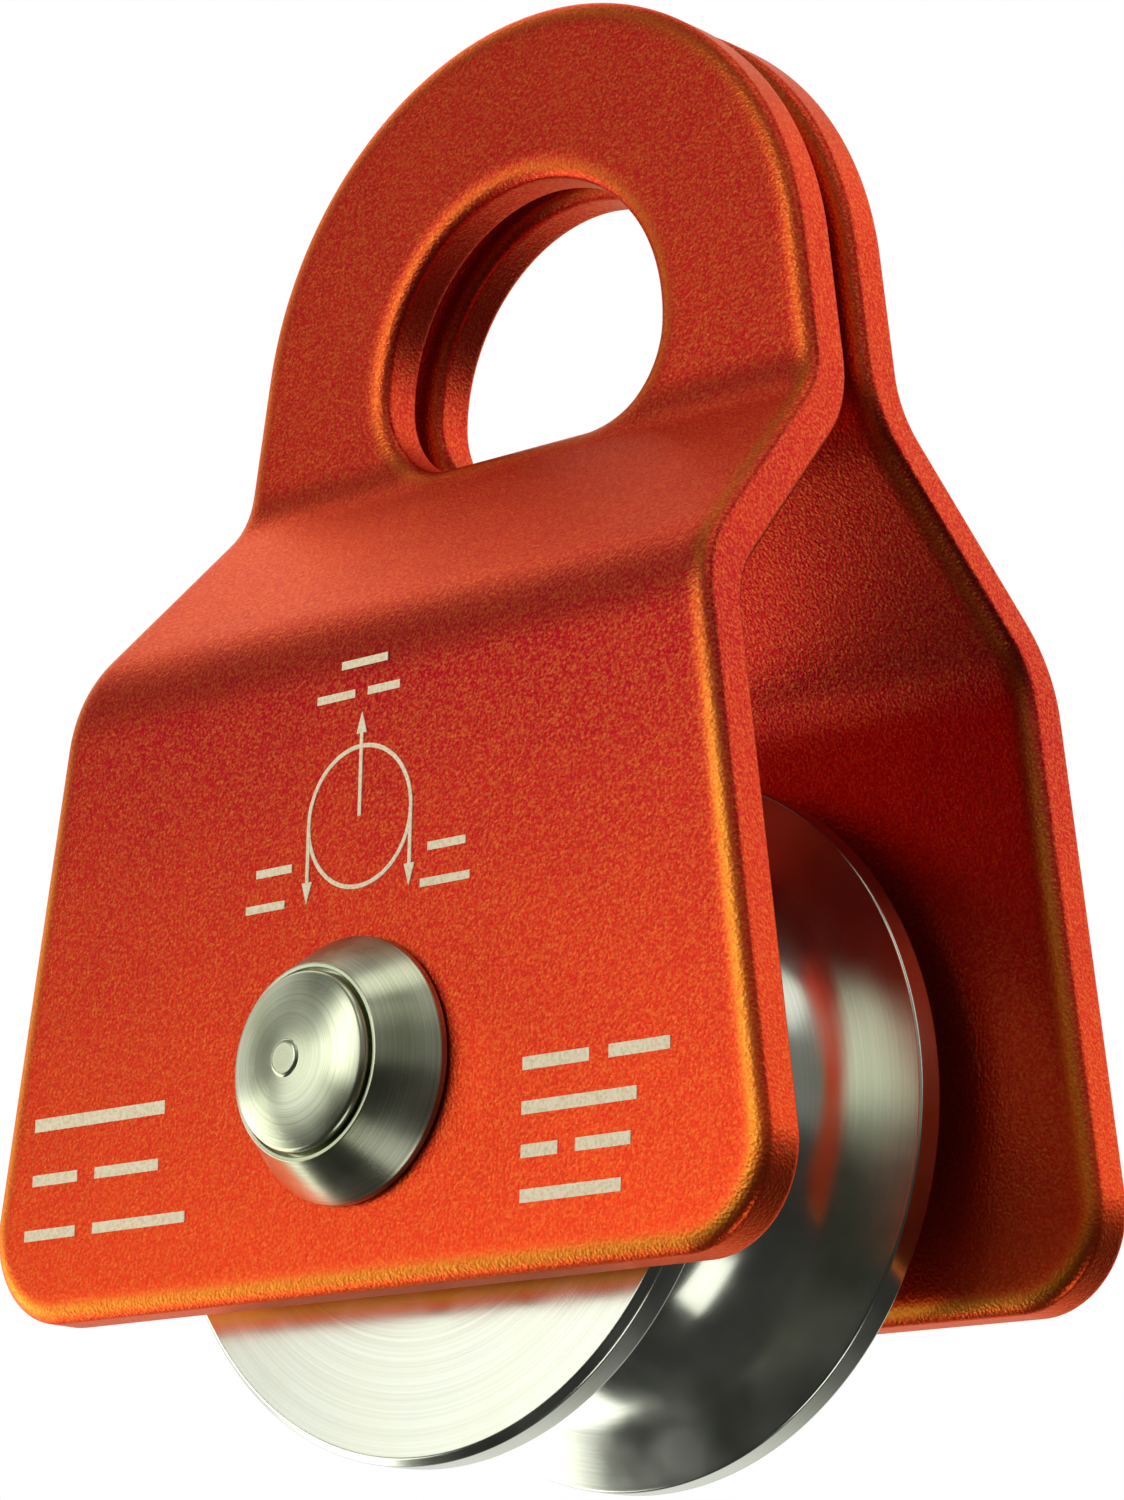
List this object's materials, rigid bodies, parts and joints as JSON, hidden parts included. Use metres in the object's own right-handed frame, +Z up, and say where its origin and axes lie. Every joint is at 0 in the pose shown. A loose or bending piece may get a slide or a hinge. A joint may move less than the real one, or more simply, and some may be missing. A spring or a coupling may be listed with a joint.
{
  "type": "rope pulley",
  "caption": "Small side-swing rope pulley: flared orange side plates with a D-shaped carabiner eye, a deep-grooved steel sheave on ball bearings and cone-shaped axle collars.",
  "frame": {"origin": "centre of the round top of the carabiner eye, halfway between the two side plates", "axes": "+Z up from the axle to the eye, +Y along the axle from the front plate to the rear plate, +X to the right of the front plate"},
  "size_m": [0.0474, 0.0334, 0.0696],
  "materials": {
    "plate_orange": "bead-blasted, orange anodised, satin",
    "turned_steel": "turned stainless steel, fine concentric marks",
    "polished_steel": "machine-polished stainless steel",
    "bearing_steel": "ground bearing steel",
    "cage_brass": "stamped brass",
    "washer_nylon": "black acetal"
  },
  "bodies": {
    "front_plate": {"front_side_plate": "plate_orange"},
    "axle_unit": {"axle_pin": "turned_steel", "inner_race_sleeve": "bearing_steel", "front_collar": "turned_steel", "front_thrust_washer": "washer_nylon", "front_bearing_spacer": "bearing_steel", "front_bearing_inner_race": "bearing_steel", "rear_collar": "turned_steel", "rear_thrust_washer": "washer_nylon", "rear_bearing_spacer": "bearing_steel", "rear_bearing_inner_race": "bearing_steel"},
    "rear_plate": {"rear_side_plate": "plate_orange"},
    "wheel": {"sheave": "polished_steel", "front_bearing_outer_race": "bearing_steel", "front_bearing_outer_shield": "bearing_steel", "front_bearing_inner_shield": "bearing_steel", "rear_bearing_outer_race": "bearing_steel", "rear_bearing_outer_shield": "bearing_steel", "rear_bearing_inner_shield": "bearing_steel"},
    "front_ball_set": {"front_bearing_ball_cage": "cage_brass", "front_bearing_balls": "bearing_steel"},
    "rear_ball_set": {"rear_bearing_ball_cage": "cage_brass", "rear_bearing_balls": "bearing_steel"}
  },
  "joints": [
    {"name": "axle_turn", "type": "hinge", "parent": "front_plate", "child": "axle_unit", "pos_m": [0, 0, -0.0355], "axis": [0, 1, 0], "continuous": true},
    {"name": "rear_plate_swing", "type": "hinge", "parent": "axle_unit", "child": "rear_plate", "pos_m": [0, 0, -0.0355], "axis": [0, 1, 0], "continuous": true},
    {"name": "sheave_spin", "type": "hinge", "parent": "axle_unit", "child": "wheel", "pos_m": [0, 0, -0.0355], "axis": [0, 1, 0], "continuous": true},
    {"name": "front_cage_spin", "type": "hinge", "parent": "axle_unit", "child": "front_ball_set", "pos_m": [0, 0, -0.0355], "axis": [0, 1, 0], "continuous": true},
    {"name": "rear_cage_spin", "type": "hinge", "parent": "axle_unit", "child": "rear_ball_set", "pos_m": [0, 0, -0.0355], "axis": [0, 1, 0], "continuous": true}
  ],
  "couplings": [
    {"joint": "front_cage_spin", "follows": "sheave_spin", "ratio": 0.58333},
    {"joint": "rear_cage_spin", "follows": "sheave_spin", "ratio": 0.58333}
  ]
}
